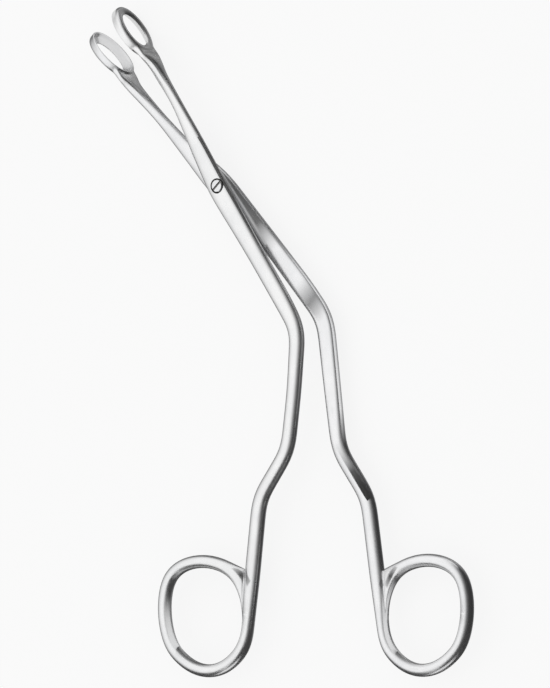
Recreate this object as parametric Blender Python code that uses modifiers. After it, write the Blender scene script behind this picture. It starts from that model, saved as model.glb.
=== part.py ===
"""Septum compression forceps: two ring-handled limbs crossing on one slotted pivot screw.

The forceps lie flat with the plane of motion horizontal. +Z is the pivot axis, +Y runs from the
pivot to the jaw tips along the line that halves the jaw opening, +X is across. Every length is
in millimetres until it reaches a mesh, where MM turns it into metres. Everything is built about
the pivot and then moved, so that the bottom centre of the whole box lies at the world origin.
"""
import math

import bmesh
import bpy
import numpy as np
from mathutils import Matrix, Vector

MM = 0.001
OBJECT_NAME = "septum_compression_forceps"

# Jaw opening at rest: each jaw is turned this far from the line that halves the opening.
REST_HALF_ANGLE = math.radians(4.0)
# Gap left between the two rims when the jaws are closed, half of it on each limb.
RIM_HALF_GAP = 0.06
# Gap between the two limbs where they cross, half of it on each limb.
LAP_HALF_GAP = 0.06

# Jaw cup: an oval cup with a hole. Half lengths run along the jaw, half widths along Z.
CUP_CENTRE = 54.4
CUP_DEPTH = 2.6
CUP_OUTER = (8.3, 5.85)
CUP_RIM = (7.75, 5.33)
CUP_FOOT = (7.2, 4.8)
CUP_LEDGE = (6.45, 4.2)
CUP_HOLE = (6.15, 3.9)
CUP_FOOT_DEPTH = 1.1
CUP_LEDGE_DEPTH = 1.95
CUP_EDGE = 0.1
CUP_BACK_ROUND = 0.9
CUP_SEGMENTS = 48

# Web below each cup: its face lies below the rim and its width grows from the neck to the cup.
# Each row is a distance below the cup centre, the width along Z and the thickness there.
WEB_FACE_DROP = 0.55
WEB_ROWS = ((2.6, 10.5, 1.95), (4.5, 10.1, 1.95), (6.2, 9.2, 2.0), (8.3, 7.8, 2.3),
            (10.4, 6.0, 2.8), (12.2, 4.5, 3.1))
WEB_CORNER = 0.6

# Cross sections of a limb: width in the plane of motion, depth along Z, corner radius.
NECK = (3.2, 3.1, 0.95)
ARM = (2.6, 2.3, 0.8)
ARM_ROOT = (4.7, 2.6, 0.7)
LAP_WIDTH_UPPER = 6.4
LAP_WIDTH_LOWER = 7.1
LAP_DEPTH = 2.6
LAP_CORNER = 0.6
SHANK = (5.2, 2.9, 0.9)
KNEE = (4.7, 3.2, 1.1)
HANDLE = (4.3, 3.3, 1.25)
RING_ROOT = (3.5, 3.4, 1.6)
RING_END = (2.2, 2.2, 1.0)

# Finger ring: its middle line is a closed curve of four arcs, given by two half axes and by how
# far the handles of each arc reach, and the bar bent along it is round.
RING_AXES = (16.3, 15.25)
RING_HANDLES = (0.41, 0.61, 0.46, 0.46)
RING_BAR = 3.7
RING_SEGMENTS = 14
# Arc of the ring in which the limb fades into the bar, as a share of the whole ring.
RING_RUN_IN = 0.1
# Web that fills the crotch between ring and limb: its thickness, its share of the ring and how
# far up the limb it starts from the point where the two lines touch.
CROTCH_THICKNESS = 2.5
CROTCH_SPAN = 0.2
CROTCH_REACH = 15.5

# Centre lines in the plane of motion, from the neck below the cup to the last bend before the
# finger ring: neck, arm, root of the arm, pivot, shank, then three bends.
UPPER_LINE = {"neck": (4.4, 38.4), "arm": (4.1, 28.5), "root": (1.8, 14.5), "pivot": (-0.6, 0.0),
              "shank": (-2.6, -22.0), "knee": (-5.8, -49.2), "elbow": (-30.8, -72.7),
              "wrist": (-48.0, -76.0)}
LOWER_LINE = {"neck": (-5.0, 38.2), "arm": (-4.6, 30.1), "root": (-3.2, 15.5),
              "pivot": (-0.4, 0.0), "shank": (1.4, -22.0), "knee": (1.9, -51.7),
              "elbow": (-19.0, -82.7), "wrist": (-19.6, -100.3)}
UPPER_RING = (-84.3, -88.0)
LOWER_RING = (-25.5, -138.2)
UPPER_RING_LEAN = math.radians(95.8)
LOWER_RING_LEAN = math.radians(2.8)

# How far before and after each named point its corner is rounded off.
TRIMS = {"neck": 2.6, "arm": 4.5, "root": 5.0, "pivot": 5.0, "shank": 6.0, "knee": 4.6,
         "elbow": 4.2, "wrist": 4.0}
# How much of the offset from the middle plane a limb still has at each named point. The limbs
# lie one above the other wherever they cross with the jaws open or closed.
OFFSETS = {"neck": 0.0, "arm": 0.75, "root": 1.0, "pivot": 1.0, "shank": 1.0, "knee": 1.0,
           "elbow": 1.0, "wrist": 0.35}

# Pivot screw: slotted head sunk in the upper limb, shank running through both limbs.
HEAD_RADIUS = 2.0
HEAD_HEIGHT = 0.95
HEAD_PROUD = 0.12
HEAD_EDGE = 0.2
SHANK_RADIUS = 1.3
HEAD_CLEARANCE = 0.1
RUNNING_CLEARANCE = 0.08
FIXED_CLEARANCE = 0.03
SEAT_CLEARANCE = 0.08
FOOT_RECESS = 0.1
SLOT_WIDTH = 0.6
SLOT_DEPTH = 0.45
SLOT_TURN = math.radians(-87)

# How finely round forms are divided, the reach of a cutter past a face, the distance below which
# points of a curve's solid are one point, in metres, and the angle from which an edge is sharp.
CUP_BACK_STEPS = 3
RING_BAR_STEPS = 4
RING_LINE_STEPS = 90
WEB_LINE_STEP = 6
SECTION_CORNER_STEPS = 3
CORNER_STEPS = 6
SCREW_STEPS = 40
CUT_MARGIN = 1.0
WELD_DISTANCE = 1e-6
LIMB_EDGE_ANGLE = math.radians(40)
SCREW_EDGE_ANGLE = math.radians(35)

# Steels: colour and roughness.
UPPER_STEEL = ((0.78, 0.79, 0.80), 0.16)
LOWER_STEEL = ((0.77, 0.78, 0.79), 0.17)
SCREW_STEEL = ((0.70, 0.71, 0.73), 0.24)


def clear_scene():
    """Remove every object and every collection that the file starts with."""
    for thing in list(bpy.data.objects):
        bpy.data.objects.remove(thing, do_unlink=True)
    for group in list(bpy.data.collections):
        bpy.data.collections.remove(group)


def new_collection(name):
    """Add a collection with this name to the scene and return it."""
    group = bpy.data.collections.new(name)
    bpy.context.scene.collection.children.link(group)
    return group


def new_object(name, mesh, group):
    """Put a mesh into an object of the same name in a collection and return the object."""
    thing = bpy.data.objects.new(name, mesh)
    group.objects.link(thing)
    return thing


def oval_section(half_length, half_width, segments=CUP_SEGMENTS):
    """Return points of an oval in its own plane as an array of (along, across)."""
    angle = np.linspace(0.0, 2.0 * math.pi, segments, endpoint=False)
    return np.column_stack((half_length * np.cos(angle), half_width * np.sin(angle)))


def bar_section(width, depth, corner):
    """Return points of a rounded rectangle as an array of (across, up), anticlockwise."""
    radius = min(corner, 0.499 * width, 0.499 * depth)
    points = []
    for quarter, (side, rise) in enumerate(((1, 1), (-1, 1), (-1, -1), (1, -1))):
        for step in range(SECTION_CORNER_STEPS + 1):
            angle = 0.5 * math.pi * (quarter + step / SECTION_CORNER_STEPS)
            points.append((side * (0.5 * width - radius) + radius * math.cos(angle),
                           rise * (0.5 * depth - radius) + radius * math.sin(angle)))
    return np.array(points)


def loft(name, rings, group):
    """Join closed rings of equal point count, given in millimetres, into one capped solid."""
    form = bmesh.new()
    rows = [[form.verts.new(Vector(point) * MM) for point in ring] for ring in rings]
    count = len(rows[0])
    for lower, upper in zip(rows, rows[1:]):
        for i in range(count):
            j = (i + 1) % count
            form.faces.new((lower[i], lower[j], upper[j], upper[i]))
    form.faces.new(rows[0][::-1])
    form.faces.new(rows[-1])
    bmesh.ops.recalc_face_normals(form, faces=form.faces)
    mesh = bpy.data.meshes.new(name)
    form.to_mesh(mesh)
    form.free()
    return new_object(name, mesh, group)


def jaw_frame(side):
    """Return the matrix from (outward, along the jaw, up) to the rest pose of this side's jaw."""
    mirror = Matrix.Diagonal((side, 1.0, 1.0, 1.0))
    return Matrix.Rotation(-side * REST_HALF_ANGLE, 4, "Z") @ mirror


def cup_rings(side, levels):
    """Return oval rings about the cup centre, one for each (distance outward, half axes)."""
    frame = jaw_frame(side)
    rings = []
    for outward, (half_length, half_width) in levels:
        oval = oval_section(half_length, half_width)
        rings.append([frame @ Vector((outward, CUP_CENTRE + along, across)) for along, across in oval])
    return rings


def shrunk(axes, amount):
    """Return half axes made smaller by the same amount each."""
    return (axes[0] - amount, axes[1] - amount)


def cup_body(name, side, group):
    """Build the solid oval of one jaw, flat in front with a rounded back."""
    face = RIM_HALF_GAP
    back = face + CUP_DEPTH
    levels = [(face, shrunk(CUP_OUTER, CUP_EDGE)), (face + CUP_EDGE, CUP_OUTER),
              (back - CUP_BACK_ROUND, CUP_OUTER)]
    for step in range(1, CUP_BACK_STEPS + 1):
        angle = 0.5 * math.pi * step / CUP_BACK_STEPS
        levels.append((back - CUP_BACK_ROUND * (1.0 - math.sin(angle)),
                       shrunk(CUP_OUTER, CUP_BACK_ROUND * (1.0 - math.cos(angle)))))
    return loft(name, cup_rings(side, levels), group)


def cup_hollow(name, side, group):
    """Build the hollow of one jaw: a steep wall below the rim, a sloping band, then the hole."""
    face = RIM_HALF_GAP
    levels = [(face - 0.5 * CUT_MARGIN, CUP_RIM), (face, CUP_RIM), (face + CUP_FOOT_DEPTH, CUP_FOOT),
              (face + CUP_LEDGE_DEPTH, CUP_LEDGE), (face + CUP_DEPTH, CUP_HOLE),
              (face + CUP_DEPTH + CUT_MARGIN, CUP_HOLE)]
    return loft(name, cup_rings(side, levels), group)


def web_stations(side):
    """Return the stations of the web under a cup, from inside the cup down to the neck."""
    frame = jaw_frame(side)
    stations = []
    for below, width_up, thickness in WEB_ROWS:
        outward = RIM_HALF_GAP + WEB_FACE_DROP + 0.5 * thickness
        x, y, _ = frame @ Vector((outward, CUP_CENTRE - below, 0.0))
        stations.append((x, y, 0.0, thickness, width_up, WEB_CORNER))
    return stations


def limb_rows(side, line):
    """Return rows (x, y, z, width, depth, corner, trim) along one limb, neck to wrist."""
    lap = (LAP_WIDTH_UPPER if side > 0 else LAP_WIDTH_LOWER, LAP_DEPTH, LAP_CORNER)
    sizes = {"neck": NECK, "arm": ARM, "root": ARM_ROOT, "pivot": lap, "shank": SHANK,
             "knee": KNEE, "elbow": HANDLE, "wrist": HANDLE}
    rows = []
    for name, (x, y) in line.items():
        width, depth, corner = sizes[name]
        z = side * OFFSETS[name] * (LAP_HALF_GAP + 0.5 * depth)
        rows.append((x, y, z, width, depth, corner, TRIMS[name]))
    return rows


def rounded_stations(rows, start, end):
    """Round each row's corner with a quadratic arc and return plain stations between two others."""
    knots = [np.array(row[:6]) for row in rows]
    chain = [np.array(start)] + knots + [np.array(end)]
    stations = []
    for i, row in enumerate(rows):
        before, corner, after = chain[i], chain[i + 1], chain[i + 2]
        enter = corner + (before - corner) * row[6] / np.linalg.norm((before - corner)[:2])
        leave = corner + (after - corner) * row[6] / np.linalg.norm((after - corner)[:2])
        for step in range(CORNER_STEPS + 1):
            t = step / CORNER_STEPS
            stations.append((1 - t) ** 2 * enter + 2 * t * (1 - t) * corner + t ** 2 * leave)
    return stations


def ring_knots(side, centre, lean):
    """Return (knot, handle before, handle after) for the four knots of a ring's middle line."""
    a, b = RING_AXES
    place = Matrix.Translation((*centre, 0.0)) @ Matrix.Rotation(lean, 4, "Z")
    place = place @ Matrix.Diagonal((1.0, side, 1.0, 1.0))
    knots = []
    for i, (cx, cy) in enumerate(((1, 0), (0, 1), (-1, 0), (0, -1))):
        here = Vector((a * cx, b * cy, 0.0))
        along = Vector((-a * cy, b * cx, 0.0))
        before = here - along * RING_HANDLES[i - 1]
        after = here + along * RING_HANDLES[i]
        knots.append((place @ here, place @ before, place @ after))
    return knots


def ring_line(side, centre, lean):
    """Return evenly numbered points of a ring's middle line as an array of (x, y)."""
    knots = ring_knots(side, centre, lean)
    points = []
    for i in range(4):
        start, _, leave = knots[i]
        end, arrive, _ = knots[(i + 1) % 4]
        for t in np.linspace(0.0, 1.0, RING_LINE_STEPS, endpoint=False).tolist():
            spot = ((1 - t) ** 3 * start + 3 * t * (1 - t) ** 2 * leave
                    + 3 * t ** 2 * (1 - t) * arrive + t ** 3 * end)
            points.append((spot.x, spot.y))
    return np.array(points)


def touching_index(line, centre, point, side):
    """Return the index at which a line from a point touches a ring's middle line."""
    to_centre = np.array(centre) - point
    offsets = line - point
    across = to_centre[0] * offsets[:, 1] - to_centre[1] * offsets[:, 0]
    along = offsets @ to_centre
    return int(np.argmax(side * np.arctan2(across, along)))


def ring_stations(side, line, touch):
    """Return stations that lead a limb into its finger ring and end inside the ring's bar."""
    stations = []
    for step in range(CORNER_STEPS + 1):
        t = step / CORNER_STEPS
        x, y = line[(touch - round(t * RING_RUN_IN * len(line))) % len(line)]
        size = (1 - t) * np.array(RING_ROOT) + t * np.array(RING_END)
        stations.append((x, y, 0.0, *size))
    return stations


def crotch_web(name, line, touch, wrist, group):
    """Fill the crotch between a finger ring and its limb with a flat web."""
    span = round(CROTCH_SPAN * len(line))
    outline = [line[(touch + i) % len(line)] for i in range(0, span + 1, WEB_LINE_STEP)]
    up_the_limb = np.array(wrist) - line[touch]
    up_the_limb /= np.linalg.norm(up_the_limb)
    outline.append(line[touch] + CROTCH_REACH * up_the_limb)
    curve = bpy.data.curves.new(name, "CURVE")
    curve.dimensions = "2D"
    curve.fill_mode = "BOTH"
    curve.extrude = 0.5 * CROTCH_THICKNESS * MM
    spline = curve.splines.new("POLY")
    spline.points.add(len(outline) - 1)
    spline.use_cyclic_u = True
    for point, (x, y) in zip(spline.points, outline):
        point.co = (x * MM, y * MM, 0.0, 1.0)
    return curve_solid(name, curve, group)


def sweep(name, stations, group):
    """Carry the bar section along the stations, each square to the centre line."""
    table = np.array([tuple(station) for station in stations])
    heading = np.gradient(table[:, :2], axis=0)
    heading /= np.linalg.norm(heading, axis=1)[:, None]
    rings = []
    for (x, y, z, width, depth, corner), (hx, hy) in zip(table, heading):
        section = bar_section(width, depth, corner)
        rings.append([(x - hy * across, y + hx * across, z + up) for across, up in section])
    return loft(name, rings, group)


def curve_solid(name, curve, group):
    """Turn a curve into a welded solid of the same name."""
    holder = bpy.data.objects.new(name + "_line", curve)
    group.objects.link(holder)
    graph = bpy.context.evaluated_depsgraph_get()
    mesh = bpy.data.meshes.new_from_object(holder.evaluated_get(graph))
    mesh.name = name
    form = bmesh.new()
    form.from_mesh(mesh)
    bmesh.ops.remove_doubles(form, verts=form.verts, dist=WELD_DISTANCE)
    bmesh.ops.recalc_face_normals(form, faces=form.faces)
    form.to_mesh(mesh)
    form.free()
    bpy.data.objects.remove(holder, do_unlink=True)
    return new_object(name, mesh, group)


def finger_ring(name, side, centre, lean, group):
    """Bend a round bar into the finger ring."""
    curve = bpy.data.curves.new(name, "CURVE")
    curve.dimensions = "3D"
    curve.resolution_u = RING_SEGMENTS
    curve.bevel_depth = 0.5 * RING_BAR * MM
    curve.bevel_resolution = RING_BAR_STEPS
    spline = curve.splines.new("BEZIER")
    spline.bezier_points.add(3)
    spline.use_cyclic_u = True
    for point, (here, before, after) in zip(spline.bezier_points, ring_knots(side, centre, lean)):
        point.handle_left_type = point.handle_right_type = "FREE"
        point.co = here * MM
        point.handle_left = before * MM
        point.handle_right = after * MM
    return curve_solid(name, curve, group)


def revolved(name, profile, group):
    """Turn a profile of (radius, height), given from top to bottom, about Z with a Screw modifier."""
    mesh = bpy.data.meshes.new(name)
    points = [(radius * MM, 0.0, height * MM) for radius, height in profile]
    mesh.from_pydata(points, [(i, i + 1) for i in range(len(points) - 1)], [])
    thing = new_object(name, mesh, group)
    screw = thing.modifiers.new("Screw", "SCREW")
    screw.axis = "Z"
    screw.angle = 2.0 * math.pi
    screw.steps = screw.render_steps = SCREW_STEPS
    screw.use_merge_vertices = True
    screw.merge_threshold = WELD_DISTANCE
    return thing


def cutter_box(name, size, centre, turn, group):
    """Build a box of this size about a centre, turned about Z."""
    mesh = bpy.data.meshes.new(name)
    form = bmesh.new()
    bmesh.ops.create_cube(form, size=MM)
    place = Matrix.Translation(Vector(centre) * MM) @ Matrix.Rotation(turn, 4, "Z")
    bmesh.ops.transform(form, matrix=place @ Matrix.Diagonal((*size, 1.0)), verts=form.verts)
    form.to_mesh(mesh)
    form.free()
    return new_object(name, mesh, group)


def combine(thing, operation, other):
    """Add an exact Boolean that joins or cuts this object with another."""
    step = thing.modifiers.new(operation.title() + "_" + other.name, "BOOLEAN")
    step.operation = operation
    step.solver = "EXACT"
    step.object = other


def steel(name, colour, roughness):
    """Return a polished steel material with its own name."""
    material = bpy.data.materials.new(name)
    material.use_nodes = True
    shader = material.node_tree.nodes["Principled BSDF"]
    shader.inputs["Base Color"].default_value = (*colour, 1.0)
    shader.inputs["Metallic"].default_value = 1.0
    shader.inputs["Roughness"].default_value = roughness
    return material


def build_limb(name, side, line, ring_centre, ring_lean, parts, cutters):
    """Build one limb as a single piece: cup, web, arm, lap, shank and finger ring."""
    ring = ring_line(side, ring_centre, ring_lean)
    touch = touching_index(ring, ring_centre, line["wrist"], side)
    web = web_stations(side)
    into_ring = ring_stations(side, ring, touch)
    middle = rounded_stations(limb_rows(side, line), web[-1], into_ring[0])
    limb = sweep(name, web + middle + into_ring, parts)
    combine(limb, "UNION", cup_body(name + "_cup", side, cutters))
    combine(limb, "UNION", finger_ring(name + "_ring", side, ring_centre, ring_lean, cutters))
    combine(limb, "UNION", crotch_web(name + "_crotch", ring, touch, line["wrist"], cutters))
    combine(limb, "DIFFERENCE", cup_hollow(name + "_hollow", side, cutters))
    return limb


def build_screw(parts, cutters):
    """Build the pivot screw with its slot."""
    top = LAP_HALF_GAP + LAP_DEPTH + HEAD_PROUD
    foot = -(LAP_HALF_GAP + LAP_DEPTH - FOOT_RECESS)
    profile = [(0.0, top), (HEAD_RADIUS - HEAD_EDGE, top), (HEAD_RADIUS, top - HEAD_EDGE),
               (HEAD_RADIUS, top - HEAD_HEIGHT), (SHANK_RADIUS, top - HEAD_HEIGHT),
               (SHANK_RADIUS, foot), (0.0, foot)]
    screw = revolved("pivot_screw", profile, parts)
    slot = cutter_box("pivot_screw_slot", (SLOT_WIDTH, 2 * HEAD_RADIUS + CUT_MARGIN, 2 * SLOT_DEPTH),
                      (0.0, 0.0, top), SLOT_TURN, cutters)
    combine(screw, "DIFFERENCE", slot)
    return screw


def build_bores(upper, lower, cutters):
    """Cut the stepped bore of the upper limb and the plain bore of the lower limb."""
    top = LAP_HALF_GAP + LAP_DEPTH
    seat = top + HEAD_PROUD - HEAD_HEIGHT - SEAT_CLEARANCE
    running = SHANK_RADIUS + RUNNING_CLEARANCE
    sunk = HEAD_RADIUS + HEAD_CLEARANCE
    stepped = revolved("upper_limb_bore", [(0.0, top + CUT_MARGIN), (sunk, top + CUT_MARGIN),
                                           (sunk, seat), (running, seat), (running, -CUT_MARGIN),
                                           (0.0, -CUT_MARGIN)], cutters)
    combine(upper, "DIFFERENCE", stepped)
    fixed = SHANK_RADIUS + FIXED_CLEARANCE
    plain = revolved("lower_limb_bore", [(0.0, CUT_MARGIN), (fixed, CUT_MARGIN),
                                         (fixed, -top - CUT_MARGIN), (0.0, -top - CUT_MARGIN)],
                     cutters)
    combine(lower, "DIFFERENCE", plain)


def finish(thing, look, sharp_angle):
    """Give a part its own steel and shade it smooth with its edges kept sharp."""
    thing.data.materials.clear()
    thing.data.materials.append(steel(thing.name + "_steel", *look))
    for face in thing.data.polygons:
        face.use_smooth = True
    thing.data.set_sharp_from_angle(angle=sharp_angle)


def evaluated_box(things):
    """Return the lowest and highest corner of the finished parts."""
    graph = bpy.context.evaluated_depsgraph_get()
    corners = []
    for thing in things:
        solid = thing.evaluated_get(graph)
        mesh = solid.to_mesh()
        points = np.empty(3 * len(mesh.vertices))
        mesh.vertices.foreach_get("co", points)
        corners.append(points.reshape(-1, 3))
        solid.to_mesh_clear()
    points = np.vstack(corners)
    return points.min(axis=0), points.max(axis=0)


def main():
    """Build the forceps."""
    clear_scene()
    parts = new_collection(OBJECT_NAME)
    cutters = new_collection("cutters")
    upper = build_limb("upper_limb", 1, UPPER_LINE, UPPER_RING, UPPER_RING_LEAN, parts, cutters)
    lower = build_limb("lower_limb", -1, LOWER_LINE, LOWER_RING, LOWER_RING_LEAN, parts, cutters)
    screw = build_screw(parts, cutters)
    build_bores(upper, lower, cutters)
    for cutter in cutters.objects:
        cutter.hide_render = True
        cutter.display_type = "WIRE"
    finish(upper, UPPER_STEEL, LIMB_EDGE_ANGLE)
    finish(lower, LOWER_STEEL, LIMB_EDGE_ANGLE)
    finish(screw, SCREW_STEEL, SCREW_EDGE_ANGLE)

    low, high = evaluated_box((upper, lower, screw))
    axis = bpy.data.objects.new("pivot_axis", None)
    parts.objects.link(axis)
    for thing in [*parts.objects, *cutters.objects]:
        if thing is not axis:
            thing.parent = axis
    axis.location = (-0.5 * (low[0] + high[0]), -0.5 * (low[1] + high[1]), -low[2])


main()
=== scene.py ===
"""Septum compression forceps, dressed: two polished limbs on one slotted pivot screw.

Shapes are worked out in millimetres about the pivot, with Z along the pivot axis and Y along the
line that halves the jaw opening. A mesh is made in metres in the row frame, by adding the pivot's
place there.
"""
import logging
import math
from dataclasses import dataclass, field
from enum import Enum

import bmesh
import bpy
import numpy as np
from mathutils import Matrix, Vector


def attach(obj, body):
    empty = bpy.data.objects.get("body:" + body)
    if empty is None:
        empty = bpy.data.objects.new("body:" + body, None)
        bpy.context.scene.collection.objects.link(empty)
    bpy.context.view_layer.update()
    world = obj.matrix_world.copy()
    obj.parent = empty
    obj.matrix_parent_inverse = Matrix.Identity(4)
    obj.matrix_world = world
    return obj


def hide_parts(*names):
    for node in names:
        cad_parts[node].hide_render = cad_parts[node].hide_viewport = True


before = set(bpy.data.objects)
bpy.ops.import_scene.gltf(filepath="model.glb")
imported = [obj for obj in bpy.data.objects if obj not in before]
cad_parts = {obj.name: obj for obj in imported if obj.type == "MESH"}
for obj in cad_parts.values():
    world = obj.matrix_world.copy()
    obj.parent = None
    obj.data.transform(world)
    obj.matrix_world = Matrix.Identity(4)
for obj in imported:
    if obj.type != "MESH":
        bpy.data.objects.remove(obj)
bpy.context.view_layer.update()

LOG = logging.getLogger("forceps")

MM = 0.001
PIVOT = np.array((47.1847, 46.3778, 5.85))
RISE = np.array((0.0, 0.0, 1.0))
UNIT = (0.0, 1.0)
WHITE = (1.0, 1.0, 1.0, 1.0)

Array = np.ndarray
Socket = bpy.types.NodeSocket
Pair = tuple[float, float]
Triple = tuple[float, float, float]
Window = tuple[int, int, int, int]


class Side(Enum):
    """Which limb. The value is also the side of the jaw opening on which its cup lies."""

    UPPER = 1
    LOWER = -1


class Coordinates(Enum):
    """What a finish's pattern follows: the object's own space, or the run of the bar."""

    SPACE = "Object"
    RUN = "UV"


# ---- cages -------------------------------------------------------------------------------


def unit(vectors: Array) -> Array:
    """Return vectors brought to a length of 1."""
    return vectors / np.linalg.norm(vectors, axis=-1, keepdims=True)


def arc(start: Array, corner: Array, end: Array, t: Array) -> Array:
    """Return the points (1-t)^2 start + 2t(1-t) corner + t^2 end."""
    return (1 - t) ** 2 * start + 2 * t * (1 - t) * corner + t ** 2 * end


@dataclass
class Skin:
    """A closed cage of quads, put together from tubes of points with windows cut in them.

    Every face corner also gets a place in the grain map: how far along the bar it lies and how
    far round it, both in centimetres.
    """

    points: list[Array] = field(default_factory=list)
    quads: list[Array] = field(default_factory=list)
    grain: list[Array] = field(default_factory=list)
    girth: float = 1.4

    def add_tube(self, surface: Array, along: Array, closed: bool,
                 windows: tuple[Window, ...] = ()) -> Array:
        """Add a grid of points whose columns run round a tube and close on themselves.

        The face at (row, column) takes the points at that row and column and at the next of each,
        where the next after the last is the first. A window leaves its faces out.

        Args:
            surface: points as an array of rows by columns by 3.
            along: place of each row along the bar, with one more where the rows close.
            closed: whether the last row joins the first.
            windows: (first row, last row, first column, last column) of each opening.

        Returns:
            The number of each point in the cage, as rows by columns.
        """
        rows, columns, _ = surface.shape
        numbers = sum(map(len, self.points)) + np.arange(rows * columns).reshape(rows, columns)
        row, column = np.meshgrid(np.arange(rows if closed else rows - 1), np.arange(columns),
                                  indexing="ij")
        kept = np.ones(row.shape, bool)
        for top, bottom, left, right in windows:
            kept[np.ix_(np.arange(top, bottom), np.arange(left, right) % columns)] = False
        row, column = row[kept], column[kept]
        below, beside = (row + 1) % rows, (column + 1) % columns
        self.points.append(surface.reshape(-1, 3))
        self.add_quads((numbers[row, column], numbers[row, beside], numbers[below, beside],
                        numbers[below, column]), along[row], along[row + 1], column, columns)
        return numbers

    def add_quads(self, corners: tuple[Array, ...], start: Array | float, end: Array | float,
                  column: Array, columns: int) -> None:
        """Add quads and their places in the grain map.

        Args:
            corners: point numbers of the four corners, the first two nearer the bar's start.
            start: place of the first two along the bar.
            end: place of the other two along the bar.
            column: which face round the bar each quad is.
            columns: how many faces there are round the bar.
        """
        self.quads.append(np.column_stack(corners))
        near, far = column / columns * self.girth, (column + 1) / columns * self.girth
        places = ((start, near), (start, far), (end, far), (end, near))
        self.grain.append(np.stack([np.column_stack(np.broadcast_arrays(*place))
                                    for place in places], axis=1))

    @staticmethod
    def rim(numbers: Array, window: Window) -> Array:
        """Return the numbers of the points round a window, in order.

        Args:
            numbers: the tube's point numbers, as add_tube returns them.
            window: the opening, as it was given to add_tube.

        Returns:
            One closed loop of point numbers.
        """
        top, bottom, left, right = window
        rows = np.concatenate((np.full(right - left, top), np.arange(top, bottom),
                               np.full(right - left, bottom), np.arange(bottom, top, -1)))
        columns = np.concatenate((np.arange(left, right), np.full(bottom - top, right),
                                  np.arange(right, left, -1), np.full(bottom - top, left)))
        return numbers[rows, columns % numbers.shape[1]]

    def bridge(self, first: Array, second: Array, start: float, end: float) -> None:
        """Join two loops of equal length with one band of quads.

        The second loop is turned, and reversed where that is closer, to the order in which the
        squared distances between partners add up to the least.

        Args:
            first: point numbers of one loop.
            second: point numbers of the other loop.
            start: place of the first loop along the bar.
            end: place of the second loop along the bar.
        """
        cloud = np.vstack(self.points)
        count = len(first)
        steps = np.arange(count)
        turns = steps[:, None]
        orders = np.concatenate((turns + steps, turns - steps)) % count
        cost = ((cloud[first] - cloud[second[orders]]) ** 2).sum(axis=(1, 2))
        partner = second[orders[np.argmin(cost)]]
        self.add_quads((first, np.roll(first, -1), np.roll(partner, -1), partner), start, end,
                       steps, count)

    def mesh(self, name: str) -> bpy.types.Mesh:
        """Return the cage as a mesh in the row frame, with its grain map and faces outwards."""
        mesh = bpy.data.meshes.new(name)
        points = (np.vstack(self.points) + PIVOT) * MM
        mesh.from_pydata(points.tolist(), [], np.vstack(self.quads).tolist())
        layer = mesh.uv_layers.new(name="grain")
        layer.data.foreach_set("uv", np.vstack(self.grain).ravel())
        turn_outwards(mesh)
        return mesh


def turn_outwards(mesh: bpy.types.Mesh) -> None:
    """Turn a closed mesh's faces outwards, and stop if it has an open edge."""
    form = bmesh.new()
    form.from_mesh(mesh)
    bmesh.ops.recalc_face_normals(form, faces=form.faces)
    loose = sum(not edge.is_manifold for edge in form.edges)
    if loose:
        raise ValueError(f"{mesh.name} has {loose} open edges")
    if form.calc_volume(signed=True) < 0.0:
        bmesh.ops.reverse_faces(form, faces=form.faces)
    form.to_mesh(mesh)
    form.free()


def turned(name: str, profile: tuple[Pair, ...], steps: int) -> bpy.types.Mesh:
    """Turn a profile about the pivot axis.

    A point is x = radius cos(angle), y = radius sin(angle), z = height.

    Args:
        name: name of the mesh.
        profile: (radius, height) from the middle of the top to the middle of the foot, in
            millimetres. The two ends are on the axis and close the form as poles.
        steps: how many parts the turn is divided into.

    Returns:
        The closed mesh, in the row frame.
    """
    radius, height = np.array(profile).T
    angle = np.linspace(0.0, 2.0 * math.pi, steps, endpoint=False)
    belt = np.stack((np.outer(radius[1:-1], np.cos(angle)), np.outer(radius[1:-1], np.sin(angle)),
                     np.repeat(height[1:-1, None], steps, axis=1)), axis=-1)
    poles = np.array(((0.0, 0.0, height[0]), (0.0, 0.0, height[-1])))
    rows = len(radius) - 2
    numbers = np.arange(rows * steps).reshape(rows, steps)
    beside = np.roll(numbers, -1, axis=1)
    quads = np.stack((numbers[:-1], beside[:-1], beside[1:], numbers[1:]), axis=-1).reshape(-1, 4)
    top, foot = rows * steps, rows * steps + 1
    caps = np.vstack((np.column_stack((numbers[0], beside[0], np.full(steps, top))),
                      np.column_stack((numbers[-1], beside[-1], np.full(steps, foot)))))
    mesh = bpy.data.meshes.new(name)
    points = (np.vstack((belt.reshape(-1, 3), poles)) + PIVOT) * MM
    mesh.from_pydata(points.tolist(), [], quads.tolist() + caps.tolist())
    turn_outwards(mesh)
    return mesh


def put_in_scene(mesh: bpy.types.Mesh) -> bpy.types.Object:
    """Put a mesh in the scene as an object of the same name and return the object."""
    thing = bpy.data.objects.new(mesh.name, mesh)
    bpy.context.scene.collection.objects.link(thing)
    return thing


def cut(thing: bpy.types.Object, cutter: bpy.types.Object) -> None:
    """Add an exact cut of an object by a cutter."""
    step = thing.modifiers.new("Cut_" + cutter.name, "BOOLEAN")
    step.operation = "DIFFERENCE"
    step.solver = "EXACT"
    step.material_mode = "TRANSFER"
    step.object = cutter


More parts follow.
